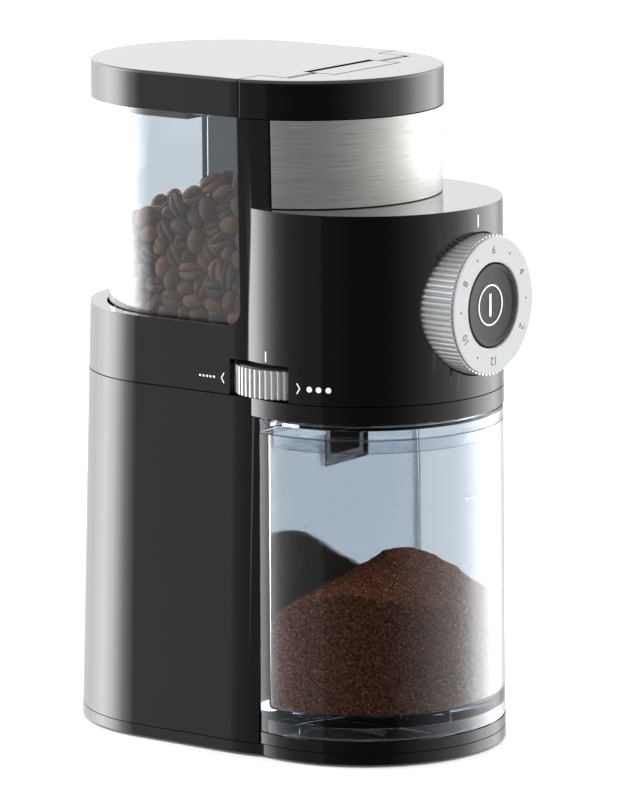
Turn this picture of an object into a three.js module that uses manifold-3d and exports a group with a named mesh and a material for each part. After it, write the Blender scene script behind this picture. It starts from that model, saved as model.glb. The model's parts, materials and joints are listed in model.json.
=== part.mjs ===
// Burr coffee grinder: an upright stadium-shaped housing with a round drum in front. The drum's head
// carries the timer dial, its base carries the sliding grounds container, and a clear hopper stands
// behind the head under a hinged lid. Millimetres, +Z up, -Y is the front (dial) side.
import * as THREE from 'three';
import { mergeVertices } from 'three/addons/utils/BufferGeometryUtils.js';
import Module from 'manifold-3d';

const wasm = await Module();
wasm.setup();

// ---------------------------------------------------------------- driving dimensions
const FOOT = 1.0;            // feet stand the base plate this far off the table
const FRAME_Y = -6.25;       // moves the model so that the origin is under the box's centre
const HEIGHT = 250;          // base plate to lid top
const LID_Z = 235.8;         // underside of the lid
const SHELF_Z = 202.9;       // top of the drum's head
const LEDGE_Z = 158.1;       // ledge that the hopper stands in
const SEAM_Z = 133.1;        // joint of lower and upper housing
const HEAD_Z = 126.3;        // underside of the head, over the container
const BASE_Z = 8.5;          // platform that the container stands on
const PLATE_Z = 4.0;         // top of the base plate
const WALL = 2.5;            // housing wall
const GAP = 0.3;             // gap between pieces that touch
const REAR_Y = 42.4;         // centre of the rear half circle of the body
const UP_REAR_Y = 39;        // the same for lid
const HOPPER_Y = 38.5;       // and for the hopper
const DRUM_Y = -25.1;        // centre of the drum
const BAY_Y = -13.4;         // rear wall of the container bay
const bodyR = (z) => 49.33 + 0.03 * (133 - z);      // half width of the body at a height
const drumR = (z) => 51.45 + 0.005 * (133 - z);     // radius of the drum at a height
const upperR = (z) => 48.6 + 0.0186 * (z - 158);    // half width of the column over the ledge
const hopperR = (z) => 44.5 + 0.0323 * (z - 158);   // the hopper widens upwards
const LID_R = 50.05;
const COLUMN_X = 34, COLUMN_Y = 19.8;               // inner column that the hopper wraps
const DIAL_Z = 167.4, DIAL_R = 25.85, DIAL_Y = -83.2;
const HINGE_Y = -15.8, HINGE_Z = 247.1;             // lid hinge
const WHEEL_X = -30, WHEEL_Y = -14.5, WHEEL_R = 22; // grind thumbwheel
const MODULE = 2, PINION_TEETH = 14, RING_TEETH = 44;
const CENTRES = MODULE * (PINION_TEETH + RING_TEETH) / 2;
const BURR_Y = WHEEL_Y + Math.sqrt(CENTRES ** 2 - WHEEL_X ** 2);   // burr and motor axis

// ---------------------------------------------------------------- solids
// A closed three.js geometry becomes a solid once its shared vertices are merged.
function solid(geometry) {
  const g = geometry.index ? geometry.clone() : geometry;
  for (const name of Object.keys(g.attributes)) if (name !== 'position') g.deleteAttribute(name);
  const m = mergeVertices(g, 1e-4);
  const p = m.attributes.position, t = [];
  for (let i = 0; i < m.index.count; i += 3) {
    const [a, b, c] = [0, 1, 2].map((k) => m.index.getX(i + k));
    if (a !== b && b !== c && c !== a) t.push(a, b, c);
  }
  let volume = 0;
  const [A, B, C] = [0, 1, 2].map(() => new THREE.Vector3());
  for (let i = 0; i < t.length; i += 3) {
    A.fromBufferAttribute(p, t[i]); B.fromBufferAttribute(p, t[i + 1]); C.fromBufferAttribute(p, t[i + 2]);
    volume += A.dot(B.cross(C));
  }
  if (volume < 0) for (let i = 0; i < t.length; i += 3) [t[i + 1], t[i + 2]] = [t[i + 2], t[i + 1]];
  return new wasm.Manifold(new wasm.Mesh({
    numProp: 3, vertProperties: new Float32Array(p.array), triVerts: new Uint32Array(t) }));
}

const arc = (cx, cy, r, a0, a1, n) => Array.from({ length: n + 1 }, (_, i) => {
  const a = a0 + (a1 - a0) * i / n;
  return [cx + r * Math.cos(a), cy + r * Math.sin(a)];
});
const disc = (cx, cy, r, n = 32) => arc(cx, cy, r, 0, 2 * Math.PI, n).slice(0, n);
const stadium = (r, y0, y1, n = 18) => [
  ...arc(0, y1, r, 0, Math.PI, n), ...arc(0, y0, r, Math.PI, 2 * Math.PI, n)];
const shape = (points) => new THREE.Shape(points.map(([x, y]) => new THREE.Vector2(x, y)));

// Straight prism of an outline between two heights.
function prism(points, z0, z1) {
  const g = new THREE.ExtrudeGeometry(shape(points), { depth: z1 - z0, bevelEnabled: false, curveSegments: 1 });
  return solid(g.translate(0, 0, z0));
}
// Prism whose outline changes evenly from one height to the other; both outlines have equal counts.
function loft(low, z0, high, z1) {
  const g = new THREE.ExtrudeGeometry(shape(low), { depth: 1, bevelEnabled: false, curveSegments: 1 });
  const p = g.attributes.position;
  const at = new Map(low.map(([x, y], i) => [`${Math.fround(x).toFixed(3)},${Math.fround(y).toFixed(3)}`, i]));
  for (let i = 0; i < p.count; i++) {
    const k = at.get(`${p.getX(i).toFixed(3)},${p.getY(i).toFixed(3)}`);
    if (p.getZ(i) > 0.5) p.setXYZ(i, high[k][0], high[k][1], z1);
    else p.setZ(i, z0);
  }
  return solid(g);
}
const tube = (f, z0, z1) => loft(f(z0), z0, f(z1), z1);
const box = (x0, x1, y0, y1, z0, z1) => solid(new THREE.BoxGeometry(x1 - x0, y1 - y0, z1 - z0)
  .translate((x0 + x1) / 2, (y0 + y1) / 2, (z0 + z1) / 2));
// Cylinders along each axis, given by the centre line and the two ends.
const cylZ = (x, y, r, z0, z1, n = 18) => solid(new THREE.CylinderGeometry(r, r, z1 - z0, n)
  .rotateX(Math.PI / 2).translate(x, y, (z0 + z1) / 2));
const cylY = (x, z, r, y0, y1, n = 24) => solid(new THREE.CylinderGeometry(r, r, y1 - y0, n)
  .translate(x, (y0 + y1) / 2, z));
const cylX = (y, z, r, x0, x1, n = 16) => solid(new THREE.CylinderGeometry(r, r, x1 - x0, n)
  .rotateZ(Math.PI / 2).translate((x0 + x1) / 2, y, z));
// Turned piece about a vertical line from a profile of [radius, height] points.
const turned = (profile, x, y, n = 28) => solid(new THREE.LatheGeometry(
  profile.map(([r, z]) => new THREE.Vector2(r, z)), n).rotateX(Math.PI / 2).translate(x, y, 0));
const ring = (x, y, r0, r1, z0, z1, n = 28) =>
  turned([[r0, z0], [r1, z0], [r1, z1], [r0, z1], [r0, z0]], x, y, n);
// Outline with ribs or teeth: the radius steps between root and tip, `duty` of each pitch is tip.
function ribbed(cx, cy, root, tip, count, duty = 0.5, slope = 0.12, turn = 0) {
  const pts = [], pitch = 2 * Math.PI / count;
  for (let i = 0; i < count; i++) {
    const a = turn + i * pitch;
    for (const [r, f] of [[root, -duty / 2 - slope], [tip, -duty / 2], [tip, duty / 2], [root, duty / 2 + slope]])
      pts.push([cx + r * Math.cos(a + f * pitch), cy + r * Math.sin(a + f * pitch)]);
  }
  return pts;
}
const FAR = 300;
const infront = (y) => box(-FAR, FAR, -FAR, y, -FAR, FAR);    // everything on the front side of y
const behind = (y) => box(-FAR, FAR, y, FAR, -FAR, FAR);
const slab = (z0, z1) => box(-FAR, FAR, -FAR, FAR, z0, z1);
const both = (make) => make(-1).add(make(1));                 // a pair, left and right

// ---------------------------------------------------------------- scene graph
const finishes = {
  black: [0x0b0b0c, 0.12, 0], blackMatt: [0x151516, 0.5, 0], silverPlastic: [0xc9cacb, 0.35, 0.4],
  whiteSilver: [0xe6e7e8, 0.35, 0.3], steel: [0xb9b9b8, 0.32, 1], clear: [0xdfe6ee, 0.04, 0],
  rubber: [0x1a1a1a, 0.85, 0], burrSteel: [0x8e9094, 0.3, 1], brass: [0xb08d45, 0.3, 1],
  copper: [0xa8602f, 0.4, 1], core: [0x5b5f63, 0.45, 0.9], board: [0x1f5a34, 0.5, 0],
  zinc: [0xa9adb0, 0.35, 0.9], nylon: [0xd8d6cf, 0.5, 0], grey: [0x8f9193, 0.3, 0.5],
};
const grinder = new THREE.Group();
grinder.position.set(0, FRAME_Y, FOOT);

function node(name, manifold, finish) {
  const mesh = manifold.getMesh(), g = new THREE.BufferGeometry();
  g.setAttribute('position', new THREE.BufferAttribute(mesh.vertProperties, 3));
  g.setIndex(new THREE.BufferAttribute(mesh.triVerts, 1));
  const [color, roughness, metalness] = finishes[finish];
  const m = new THREE.Mesh(g, new THREE.MeshStandardMaterial({ color, roughness, metalness }));
  m.name = name;
  grinder.add(m);
  return m;
}

// ---------------------------------------------------------------- base
const FEET = [[-30, -52], [30, -52], [-33, 62], [33, 62]];
const BASE_SCREWS = [[-18, -60], [18, -60], [-24, 83.4], [24, 83.4]];
const bodyAt = (inset = 0) => (z) => stadium(bodyR(z) - inset, 0, REAR_Y);
const drumAt = (inset = 0) => (z) => disc(0, DRUM_Y, drumR(z) - inset, 44);

function basePlate() {
  let s = tube(bodyAt(), 0, PLATE_Z).add(tube(drumAt(), 0, PLATE_Z));
  for (const [x, y] of FEET) s = s.subtract(cylZ(x, y, 6.3, -1, 1.8, 16));
  for (const [x, y] of BASE_SCREWS) s = s.subtract(cylZ(x, y, 3.5, -1, 2, 12)).subtract(cylZ(x, y, 1.8, 1, 5, 8));
  for (let i = -2; i <= 2; i++) s = s.subtract(box(i * 7 - 1.5, i * 7 + 1.5, BURR_Y - 15, BURR_Y + 15, -1, 5));
  return s;
}
const foot = (x, y) => turned([[0, -FOOT], [5.2, -FOOT], [6, -FOOT + 0.6], [6, 1.5], [0, 1.5]], x, y, 16);
// Pan-head screw with a slot; `up` is the side the shank points to.
function screw(x, y, z, head, shank, length, up) {
  const s = up ? 1 : -1;
  const p = [[0, 0], [head * 0.8, 0], [head, 0.5], [head, 1.5], [shank, 1.5], [shank, length], [0, length]];
  const slot = box(x - head * 0.7, x + head * 0.7, y - 0.4, y + 0.4, z - 0.8, z + 0.8);
  return turned(p.map(([r, h]) => [r, z + s * h]), x, y, 12).subtract(slot);
}

// ---------------------------------------------------------------- lower housing
const DECK_Z = 98;                                   // deck that carries motor and grinding chamber
const EARS = [[-41, BURR_Y], [41, BURR_Y], [0, BURR_Y + 41]];
const CHUTE_X = 11.5, CHUTE_Z = 104;
function lowerHousing() {
  const z0 = PLATE_Z + GAP, z1 = SEAM_Z - 0.2;
  const inside = tube(bodyAt(WALL), z0 - 1, z1 + 1).intersect(behind(BAY_Y + WALL));
  const deck = tube(bodyAt(2), DECK_Z, DECK_Z + 3).intersect(behind(BAY_Y + 1));
  let s = tube(bodyAt(), z0, z1).intersect(behind(BAY_Y)).subtract(inside).add(deck);
  s = s.add(tube(drumAt(), z0, BASE_Z).intersect(infront(BAY_Y + 1)));
  s = s.subtract(tube(drumAt(WALL), z0 - 1, 6.5).intersect(infront(BAY_Y)));
  s = s.add(tube(drumAt(), HEAD_Z, z1).intersect(infront(BAY_Y + 4)));
  s = s.subtract(tube(drumAt(WALL), HEAD_Z + 2.4, z1 + 1).intersect(infront(BAY_Y + WALL + 2)));
  for (const [x, y] of BASE_SCREWS) {
    const top = y < 0 ? 7 : 14;
    s = s.add(cylZ(x, y, 3.6, z0, top, 16)).subtract(cylZ(x, y, 1.8, z0 - 1, top - 1.2 + (y < 0 ? 0.9 : 0), 12));
  }
  s = s.add(cylZ(WHEEL_X, WHEEL_Y, 5, HEAD_Z + 2, z1, 20)).subtract(cylZ(WHEEL_X, WHEEL_Y, 2.8, HEAD_Z + 1.5, z1 + 1));
  s = s.subtract(cylZ(0, BURR_Y, 12, DECK_Z - 1, DECK_Z + 4));
  for (const [x, y] of EARS) s = s.subtract(cylZ(x, y, 1.8, DECK_Z - 1, DECK_Z + 4, 12));
  s = s.subtract(box(-CHUTE_X - GAP, CHUTE_X + GAP, BAY_Y - 2, BAY_Y + 4, CHUTE_Z - GAP, HEAD_Z - GAP));
  return s.subtract(cylY(0, 18, 6.3, 80, 110));
}

// ---------------------------------------------------------------- upper housing
const column = (inset, y) => (z) => stadium(upperR(z) - inset, 0, UP_REAR_Y);
const innerColumn = (inset, z0, z1) =>
  box(-COLUMN_X + inset, COLUMN_X - inset, -12, COLUMN_Y - inset, z0, z1);
const hopperAt = (inset = 0) => (z) => stadium(hopperR(z) - inset, 0, HOPPER_Y);
const COLUMN_TOP = LID_Z - GAP, WINDOW_Y = -4.3, WINDOW_R = 7.5;

// Fillet between the ledge and the column at the foot of the hopper's window, in the side wall.
function windowFillet(side) {
  const wall = tube(column(0), LEDGE_Z - 1, LEDGE_Z + 12).subtract(tube(column(WALL), LEDGE_Z - 2, LEDGE_Z + 13));
  const corner = box(-FAR, FAR, WINDOW_Y - 1, WINDOW_Y + WINDOW_R, LEDGE_Z - 1, LEDGE_Z + WINDOW_R)
    .subtract(cylX(WINDOW_Y + WINDOW_R, LEDGE_Z + WINDOW_R, WINDOW_R, -FAR, FAR, 32));
  return wall.intersect(corner).intersect(box(side < 0 ? -FAR : 0, side < 0 ? 0 : FAR, -FAR, FAR, 0, FAR));
}
function upperHousing() {
  const z0 = SEAM_Z + 0.2;
  const aboveLedge = (y) => behind(y).intersect(slab(LEDGE_Z - 4, FAR));
  let s = tube(bodyAt(), z0, LEDGE_Z).add(tube(drumAt(), z0, SHELF_Z).subtract(aboveLedge(WINDOW_Y)));
  s = s.add(tube(column(0), LEDGE_Z - 1, COLUMN_TOP).intersect(infront(WINDOW_Y)));
  s = s.add(innerColumn(0, LEDGE_Z - 2.8, COLUMN_TOP));
  let inside = tube(drumAt(WALL), z0 - 1, SHELF_Z - WALL).subtract(aboveLedge(WINDOW_Y - WALL));
  inside = inside.add(tube(bodyAt(WALL), z0 - 1, LEDGE_Z - 2.8));
  inside = inside.add(tube(column(WALL + 0.8), LEDGE_Z - 4, COLUMN_TOP - WALL).intersect(infront(WINDOW_Y - WALL)));
  inside = inside.add(innerColumn(WALL, LEDGE_Z - 4, COLUMN_TOP - WALL));
  s = s.subtract(inside);
  // the hopper's place in the ledge, and the lip below that carries it
  const opening = tube(hopperAt(-0.8), LEDGE_Z - 4, LEDGE_Z + 1).intersect(behind(WINDOW_Y + GAP));
  s = s.subtract(opening.subtract(innerColumn(0, 100, FAR)));
  const lip = tube(bodyAt(1.5), 152, 153.3).subtract(tube(() => stadium(38, 0, HOPPER_Y), 151, 154));
  s = s.add(lip.intersect(behind(4)));
  for (const side of [-1, 1]) s = s.add(windowFillet(side));
  // dial recess in the drum
  s = s.add(cylY(0, DIAL_Z, 28.8, -76, -63.5, 32).intersect(tube(drumAt(0.2), 134, 202)));
  s = s.subtract(cylY(0, DIAL_Z, 26.5, -100, -66, 32)).subtract(cylY(0, DIAL_Z, 9, -70, -60));
  // thumbwheel window, steel band recess
  s = s.subtract(box(-70, -38, -28, 4, z0 - 1, 146.5));
  const band = tube(column(-1), SHELF_Z + 0.1, COLUMN_TOP + 1).subtract(tube(column(1), SHELF_Z, COLUMN_TOP + 2));
  return s.subtract(band.intersect(infront(-17)));
}
const steelBand = () => tube(column(0), SHELF_Z + GAP, COLUMN_TOP - 0.1)
  .subtract(tube(column(0.7), SHELF_Z, COLUMN_TOP + 1)).intersect(infront(-17.3));

// ---------------------------------------------------------------- hopper and lid
function hopper() {
  const z0 = 153.6, z1 = LID_Z - 0.4, floor = z0 + 2.8, wall = 1.8;
  const notch = (grow) => box(-COLUMN_X - grow, COLUMN_X + grow, -20, COLUMN_Y + grow, 100, FAR);
  const outer = tube(hopperAt(), z0, z1).intersect(behind(WINDOW_Y + GAP)).subtract(notch(GAP));
  const inner = tube(hopperAt(wall), floor, z1 + 2).intersect(behind(WINDOW_Y + GAP + wall)).subtract(notch(GAP + wall));
  return outer.subtract(inner).add(cylZ(0, BURR_Y, 15, 144.8, floor - 0.5, 24)).subtract(cylZ(0, BURR_Y, 12.6, 144, floor + 1, 24));
}
// Spoked guard that keeps fingers out of the throat.
function fingerGuard() {
  const z0 = 152, z1 = 155.5;
  let s = ring(0, BURR_Y, 10.6, 12, z0, z1, 20);
  for (let i = 0; i < 3; i++) {
    const a = i * Math.PI / 3;
    s = s.add(prism([[-11, -1], [11, -1], [11, 1], [-11, 1]].map(([u, v]) =>
      [u * Math.cos(a) - v * Math.sin(a), BURR_Y + u * Math.sin(a) + v * Math.cos(a)]), z0, z1));
  }
  return s;
}
const lidBlock = (inset, z0, z1) => prism(stadium(LID_R - inset, 0, UP_REAR_Y), z0, z1);
// Chamfered top edge: the outline draws in over the last millimetre.
const lidShell = () => lidBlock(0, LID_Z, HEIGHT - 1)
  .add(loft(stadium(LID_R, 0, UP_REAR_Y), HEIGHT - 1.01, stadium(LID_R - 1, 0, UP_REAR_Y), HEIGHT));
const ARM_IN = 20.3, ARM_OUT = 37, KNUCKLE = 2.9;
function frontCap() {
  let s = lidShell().intersect(infront(-5.3));
  s = s.subtract(lidBlock(2.2, LID_Z - 1, HEIGHT - WALL).intersect(infront(-7.5)));
  s = s.add(box(-ARM_OUT - 1.8, ARM_OUT + 1.8, -20.5, -5.3, 241.5, HEIGHT - 1));
  s = s.add(box(-21.7, 21.7, -28.4, -19, 241.5, HEIGHT - 1));
  s = s.add(box(-ARM_IN + 0.6, ARM_IN - 0.6, -20, -12.9, 241.5, HEIGHT - 4));
  s = s.subtract(box(-ARM_OUT - GAP, ARM_OUT + GAP, -19, 0, 243.9, FAR));
  s = s.subtract(box(-20.2, 20.2, -26.9, -10, 243.9, FAR));
  return s.subtract(cylX(HINGE_Y, HINGE_Z, 1.3, -37.2, 37.2));
}
const hingeCover = () => box(-19.9, 19.9, -26.6, HINGE_Y, HINGE_Z - 2.8, HEIGHT)
  .add(cylX(HINGE_Y, HINGE_Z, KNUCKLE, -19.9, 19.9, 24).intersect(slab(HINGE_Z - 2.8, FAR)))
  .subtract(cylX(HINGE_Y, HINGE_Z, 1.3, -30, 30));
function hopperLid() {
  let s = lidShell().intersect(behind(-4.8));
  s = s.subtract(lidBlock(2.2, LID_Z - 1, HEIGHT - WALL).intersect(behind(-2.4)));
  s = s.add(box(-ARM_OUT, ARM_OUT, -12.6, -3, HINGE_Z - KNUCKLE, HEIGHT));
  const arm = (k) => box(Math.min(k * ARM_IN, k * ARM_OUT), Math.max(k * ARM_IN, k * ARM_OUT),
    HINGE_Y, -12, HINGE_Z - KNUCKLE, HEIGHT)
    .add(cylX(HINGE_Y, HINGE_Z, KNUCKLE, Math.min(k * ARM_IN, k * ARM_OUT), Math.max(k * ARM_IN, k * ARM_OUT), 24));
  return s.add(both(arm)).subtract(cylX(HINGE_Y, HINGE_Z, 1.08, -36.8, 36.8));
}
const lidPlug = () => prism(stadium(43, 0, HOPPER_Y), 232.4, 247).intersect(behind(23))
  .subtract(prism(stadium(41.5, 0, HOPPER_Y), 232, 248).intersect(behind(24.5)));

// ---------------------------------------------------------------- dial and start button
// Pieces turned about the dial's axis are made upright about the origin and laid towards the front.
const toFront = (m, y) => m.rotate([90, 0, 0]).translate([0, y, DIAL_Z]);
function dialKnob() {
  const len = 16, s = prism(ribbed(0, 0, 25.2, DIAL_R, 32), 0, len - 1)
    .add(loft(disc(0, 0, 25.1, 32), len - 1.01, disc(0, 0, 24.8, 32), len));
  const hub = cylZ(0, 0, 8.5, -9, 7, 32);
  return toFront(s.subtract(cylZ(0, 0, 15.9, 9, len + 1, 32)).subtract(cylZ(0, 0, 23, -1, 6, 32)).add(hub)
    .subtract(cylZ(0, 0, 5.2, -10, 12, 32)), -66.6);
}
const dialFace = () => toFront(ring(0, 0, 16, 24.6, 0, 0.5, 40), DIAL_Y + 0.5);
function startButton() {
  const p = [[0, 27.6], [12.4, 28.1], [13.6, 29], [14.6, 29], [15.3, 28.2], [15.3, 25], [4.8, 25], [4.8, 0], [0, 0]];
  return toFront(turned(p.reverse(), 0, 0, 32), -53.9);
}
const timerModule = () => box(-15, 15, -63.2, -54.5, DIAL_Z - 15, DIAL_Z + 15).subtract(cylY(0, DIAL_Z, 8.8, -70, -50, 32));
const buttonSwitch = () => box(-7, 7, -50, -36.3, DIAL_Z - 6, DIAL_Z + 6).add(cylY(0, DIAL_Z, 2, -51.7, -49, 16));
function controlBoard() {
  let s = box(-27, 27, -36, -34.4, 151, 198);
  for (const [x, z, w, h, d] of [[-15, 186, 8, 5, 9], [16, 188, 6, 6, 12], [17, 156, 8, 5, 7]])
    s = s.add(box(x - w, x + w, -36 - d, -35, z - h, z + h));
  return s;
}
const capacitor = () => turned([[0, 178], [6, 178], [6, 197], [5.4, 198], [0, 198]], -18, -26, 24);

// ---------------------------------------------------------------- grind setting
function gear(x, y, teeth, z0, z1, turn) {
  const r = MODULE * teeth / 2;
  return prism(ribbed(x, y, r - 0.95 * MODULE, r + 0.7 * MODULE, teeth, 0.2, 0.13, turn), z0, z1);
}
const mesh = Math.atan2(BURR_Y - WHEEL_Y, -WHEEL_X);       // direction from the pinion to the ring
function thumbwheel() {
  const rim = prism(ribbed(WHEEL_X, WHEEL_Y, WHEEL_R - 0.7, WHEEL_R, 32), 133.6, 144.5)
    .add(cylZ(WHEEL_X, WHEEL_Y, WHEEL_R - 0.9, 144.4, 144.8, 32));
  return rim.subtract(cylZ(WHEEL_X, WHEEL_Y, 2.58, 130, 150));
}
const pinion = () => gear(WHEEL_X, WHEEL_Y, PINION_TEETH, 145.1, 151.6, mesh)
  .subtract(cylZ(WHEEL_X, WHEEL_Y, 2.58, 140, 155));
const adjusterAxle = () => turned([[0, 128.2], [2.5, 128.2], [2.5, 154.4], [0, 154.4]], WHEEL_X, WHEEL_Y, 24);
function adjustRing() {
  const turn = mesh + Math.PI + Math.PI / RING_TEETH;
  return gear(0, BURR_Y, RING_TEETH, 145.8, 151.6, turn).add(cylZ(0, BURR_Y, 30, 128, 146, 32))
    .subtract(cylZ(0, BURR_Y, 26.3, 127, 153, 32));
}

// ---------------------------------------------------------------- burrs and grinding chamber
// Flat burr: a ring with slanted cutting grooves in one face.
function burr(r0, r1, z0, z1, face) {
  let s = ring(0, BURR_Y, r0, r1, z0, z1, 32);
  const zf = face > 0 ? z1 : z0;
  for (let i = 0; i < 9; i++) {
    const a = i * Math.PI / 4.5, c = Math.cos(a), n = Math.sin(a);
    const p = [[r0 - 1, 2.4], [r1 + 1, 5.4], [r1 + 1, 7.6], [r0 - 1, 5.8]].map(([u, v]) => [u * c - v * n, BURR_Y + u * n + v * c]);
    s = s.subtract(prism(p, zf - 1.4, zf + 1.4));
  }
  return s;
}
const burrCarrier = () => turned([[13, 124], [25.9, 124], [25.9, 143.4], [23.4, 143.4], [16, 128.5], [13, 128.5],
  [13, 124]], 0, BURR_Y, 32);
function grindingChamber() {
  let s = cylZ(0, BURR_Y, 34, 101.3, 145.3, 32).subtract(cylZ(0, BURR_Y, 30.4, 127, 146, 32));
  s = s.subtract(cylZ(0, BURR_Y, 29.2, 104.4, 128, 32)).subtract(cylZ(0, BURR_Y, 7, 100, 110));
  return s.subtract(box(-9.2, 9.2, -5, BURR_Y - 20, 106.5, 118));
}
function sweeper() {
  let s = cylZ(0, BURR_Y, 25.5, 107.6, 110.2, 32).add(cylZ(0, BURR_Y, 9, 105.2, 116.4, 32));
  for (let i = 0; i < 4; i++) {
    const a = i * Math.PI / 2 + 0.4, c = Math.cos(a), n = Math.sin(a);
    s = s.add(prism([[20, -1], [28.4, -1], [28.4, 1], [20, 1]].map(([u, v]) =>
      [u * c - v * n, BURR_Y + u * n + v * c]), 105.2, 110.2));
  }
  return s.subtract(cylZ(0, BURR_Y, 4.3, 100, 120));
}
function burrNut() {
  return prism(disc(0, BURR_Y, 7, 6), 116.7, 120.5).subtract(cylZ(0, BURR_Y, 4.3, 110, 125));
}
function chute() {
  const s = box(-CHUTE_X, CHUTE_X, -15.8, 8, CHUTE_Z, HEAD_Z - 0.6).subtract(cylZ(0, BURR_Y, 34.3, 100, 130, 32));
  return s.subtract(box(-9.2, 9.2, -20, 20, 106.5, 118));
}

// ---------------------------------------------------------------- motor
const MOTOR = { r: 30, z0: 34, z1: 92 };
function motorCan() {
  return ring(0, BURR_Y, MOTOR.r - 9, MOTOR.r, MOTOR.z0 + 5, MOTOR.z1 - 5, 32);
}
function endCap(z0, z1, bearing) {
  let s = cylZ(0, BURR_Y, MOTOR.r, z0, z1, 28).subtract(cylZ(0, BURR_Y, 6, z0 - 1, z1 + 1))
    .subtract(cylZ(0, BURR_Y, 8.3, bearing[0], bearing[1]));
  for (let i = 0; i < 4; i++) {
    const a = i * Math.PI / 2 + Math.PI / 4;
    s = s.subtract(cylZ(21 * Math.cos(a), BURR_Y + 21 * Math.sin(a), 5.5, z0 - 1, z1 + 1, 8));
  }
  return s;
}
const bearing = (z0, z1) => ring(0, BURR_Y, 4.08, 8, z0, z1, 24);
const motorShaft = () => turned([[0, 18], [3.6, 18], [4, 18.6], [4, 121], [3.5, 122], [0, 122]], 0, BURR_Y, 24);
const rotorCore = () => prism(ribbed(0, BURR_Y, 15.5, 20, 12, 0.6, 0.02), 48, 78).subtract(cylZ(0, BURR_Y, 4.3, 40, 90));
const commutator = () => prism(ribbed(0, BURR_Y, 8.6, 9.2, 10, 0.7, 0.04), 79, 86).subtract(cylZ(0, BURR_Y, 4.3, 40, 90));
function fan() {
  let s = cylZ(0, BURR_Y, 7.5, 20, 31).add(cylZ(0, BURR_Y, 24, 29.4, 31, 24));
  for (let i = 0; i < 8; i++) {
    const a = i * Math.PI / 4, c = Math.cos(a), n = Math.sin(a);
    s = s.add(prism([[5, -0.8], [24, 3.2], [24, 4.8], [5, 0.8]].map(([u, v]) =>
      [u * c - v * n, BURR_Y + u * n + v * c]), 20.5, 30));
  }
  return s.subtract(cylZ(0, BURR_Y, 4.3, 10, 40));
}
function motorMount() {
  let s = cylZ(0, BURR_Y, 33, 93, 97.6, 32);
  for (const [x, y] of EARS) s = s.add(cylZ(x, y, 5.5, 93, 97.6, 12))
    .add(box(Math.min(x * 0.6, x) - (x ? 0 : 5), Math.max(x * 0.6, x) + (x ? 0 : 5),
      x ? y - 5 : BURR_Y + 25, x ? y + 5 : y, 93, 97.6));
  s = s.subtract(cylZ(0, BURR_Y, 9, 90, 99));
  for (const [x, y] of EARS) s = s.subtract(cylZ(x, y, 1.8, 90, 99, 8));
  return s;
}

// ---------------------------------------------------------------- container
const CUP = { z0: 8.9, z1: 120.4, wall: 2.8, y: BAY_Y - 0.5 };
const cup = (inset) => (z) => disc(0, DRUM_Y, drumR(z) - 0.2 - inset, 44);
function container() {
  const { z0, z1, wall, y } = CUP;
  let s = tube(cup(0), z0, z1).intersect(infront(y));
  s = s.subtract(tube(cup(wall), 17.3, z1 + 1).intersect(infront(y - wall)));
  s = s.subtract(tube(cup(wall), z0 - 1, 13.2).intersect(infront(y - wall)));
  for (const x of [-30, 0, 30]) s = s.add(box(x - 0.8, x + 0.8, -55, y - 1, z0, 14));
  return s.subtract(box(-13.5, 13.5, y - 5, y + 5, 102.5, z1 + 5));
}
function containerLid() {
  const { z1, wall, y } = CUP, top = HEAD_Z - 0.6;
  let s = tube(cup(0), z1 + GAP, top).intersect(infront(y));
  s = s.add(tube(cup(wall + 0.4), 115.4, z1 + 1).intersect(infront(y - wall - 0.4)));
  s = s.subtract(tube(cup(wall + 2.2), 115, top - 2).intersect(infront(y - wall - 2.2)));
  return s.subtract(box(-13.5, 13.5, y - 6, y + 5, 100, FAR));
}

// ---------------------------------------------------------------- assembly
node('base_plate', basePlate(), 'blackMatt');
FEET.forEach(([x, y], i) => node(`foot_${i + 1}`, foot(x, y), 'rubber'));
BASE_SCREWS.forEach(([x, y], i) => node(`base_screw_${i + 1}`, screw(x, y, 0.5, 3.1, 1.5, y < 0 ? 5.8 : 10, true), 'zinc'));
node('lower_housing', lowerHousing(), 'black');
node('upper_housing', upperHousing(), 'black');
node('steel_band', steelBand(), 'steel');
node('front_cap', frontCap(), 'black');
node('hinge_cover', hingeCover(), 'black');
node('hinge_pin', cylX(HINGE_Y, HINGE_Z, 1, -36.5, 36.5), 'zinc');
node('hopper_lid', hopperLid(), 'black');
node('lid_plug', lidPlug(), 'blackMatt');
node('hopper', hopper(), 'clear');
node('finger_guard', fingerGuard(), 'blackMatt');
node('dial_knob', dialKnob(), 'silverPlastic');
node('dial_face', dialFace(), 'whiteSilver');
node('start_button', startButton(), 'grey');
node('timer_module', timerModule(), 'nylon');
node('button_switch', buttonSwitch(), 'blackMatt');
node('control_board', controlBoard(), 'board');
node('capacitor', capacitor(), 'blackMatt');
node('lid_switch', box(-8, 8, -12, -4, 221, 232.6).add(cylZ(0, -8, 1.5, 219, 222, 12)), 'blackMatt');
node('thumbwheel', thumbwheel(), 'silverPlastic');
node('pinion', pinion(), 'nylon');
node('adjuster_axle', adjusterAxle(), 'zinc');
node('adjust_ring', adjustRing(), 'nylon');
node('burr_carrier', burrCarrier(), 'blackMatt');
node('upper_burr', burr(13, 25, 117.3, 123.7, -1), 'burrSteel');
node('grinding_chamber', grindingChamber(), 'blackMatt');
node('lower_burr', burr(9.3, 25, 110.5, 116.4, 1), 'burrSteel');
node('sweeper', sweeper(), 'zinc');
node('burr_nut', burrNut(), 'zinc');
node('chute', chute(), 'blackMatt');
node('motor_shaft', motorShaft(), 'zinc');
node('rotor_core', rotorCore(), 'core');
node('commutator', commutator(), 'copper');
node('fan', fan(), 'blackMatt');
node('motor_can', motorCan(), 'core');
node('motor_cap_top', endCap(MOTOR.z1 - 4.7, MOTOR.z1 + 0.7, [MOTOR.z1 - 4, MOTOR.z1 + 2]), 'zinc');
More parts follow.
